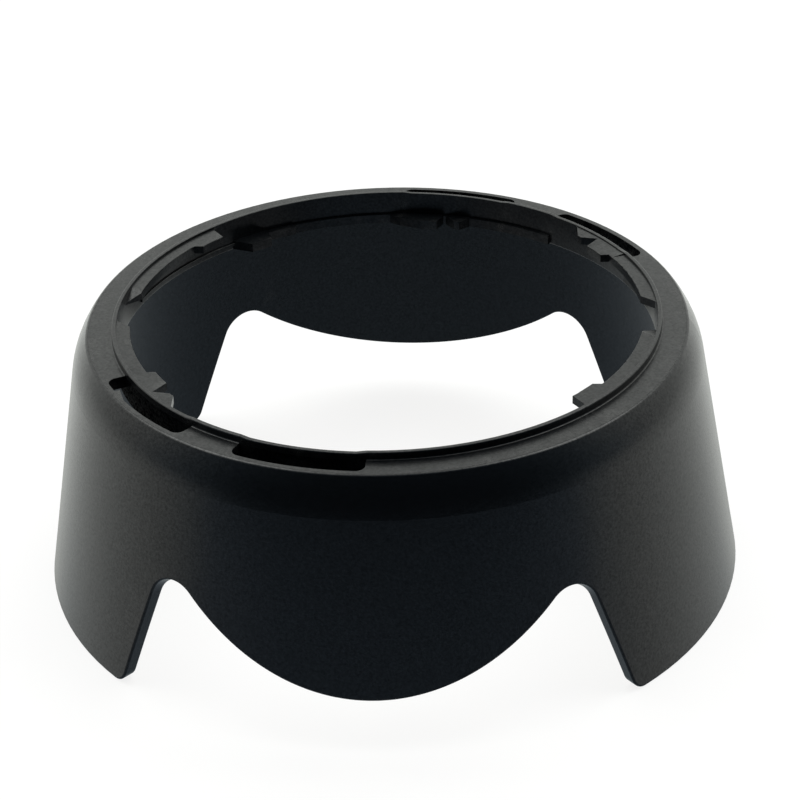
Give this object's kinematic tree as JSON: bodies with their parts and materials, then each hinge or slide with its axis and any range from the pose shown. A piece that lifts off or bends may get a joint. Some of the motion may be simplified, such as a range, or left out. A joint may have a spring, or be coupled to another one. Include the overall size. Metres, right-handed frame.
{
  "type": "lens hood",
  "caption": "Petal-shaped camera lens hood with a reversible bayonet ring and flexing detent walls that lock it to the lens.",
  "frame": {"origin": "on the optical axis, on the plane of the long petals' tips", "axes": "+Z along the optical axis towards the lens, +X through the middle of one long petal, +Y through the middle of one short petal"},
  "size_m": [0.1036, 0.1008, 0.0401],
  "materials": {
    "shade_plastic": "fine matte grain",
    "ring_plastic": "satin moulded"
  },
  "bodies": {
    "hood": {"petal_shade": "shade_plastic", "bayonet_ring": "ring_plastic"},
    "mount_detent_left": {"mount_detent_left": "ring_plastic"},
    "mount_detent_right": {"mount_detent_right": "ring_plastic"},
    "storage_detent_front": {"storage_detent_front": "ring_plastic"},
    "storage_detent_back": {"storage_detent_back": "ring_plastic"}
  },
  "joints": [
    {"name": "mount_detent_left_flex", "type": "slide", "parent": "hood", "child": "mount_detent_left", "axis": [-0.7629, -0.6465, 0], "range_m": [0, 0.00035], "stiffness_N_per_m": 6000},
    {"name": "mount_detent_right_flex", "type": "slide", "parent": "hood", "child": "mount_detent_right", "axis": [0.7629, 0.6465, 0], "range_m": [0, 0.00035], "stiffness_N_per_m": 6000},
    {"name": "storage_detent_front_flex", "type": "slide", "parent": "hood", "child": "storage_detent_front", "axis": [-0.2258, -0.9742, 0], "range_m": [0, 0.00035], "stiffness_N_per_m": 6000},
    {"name": "storage_detent_back_flex", "type": "slide", "parent": "hood", "child": "storage_detent_back", "axis": [0.2258, 0.9742, 0], "range_m": [0, 0.00035], "stiffness_N_per_m": 6000}
  ]
}
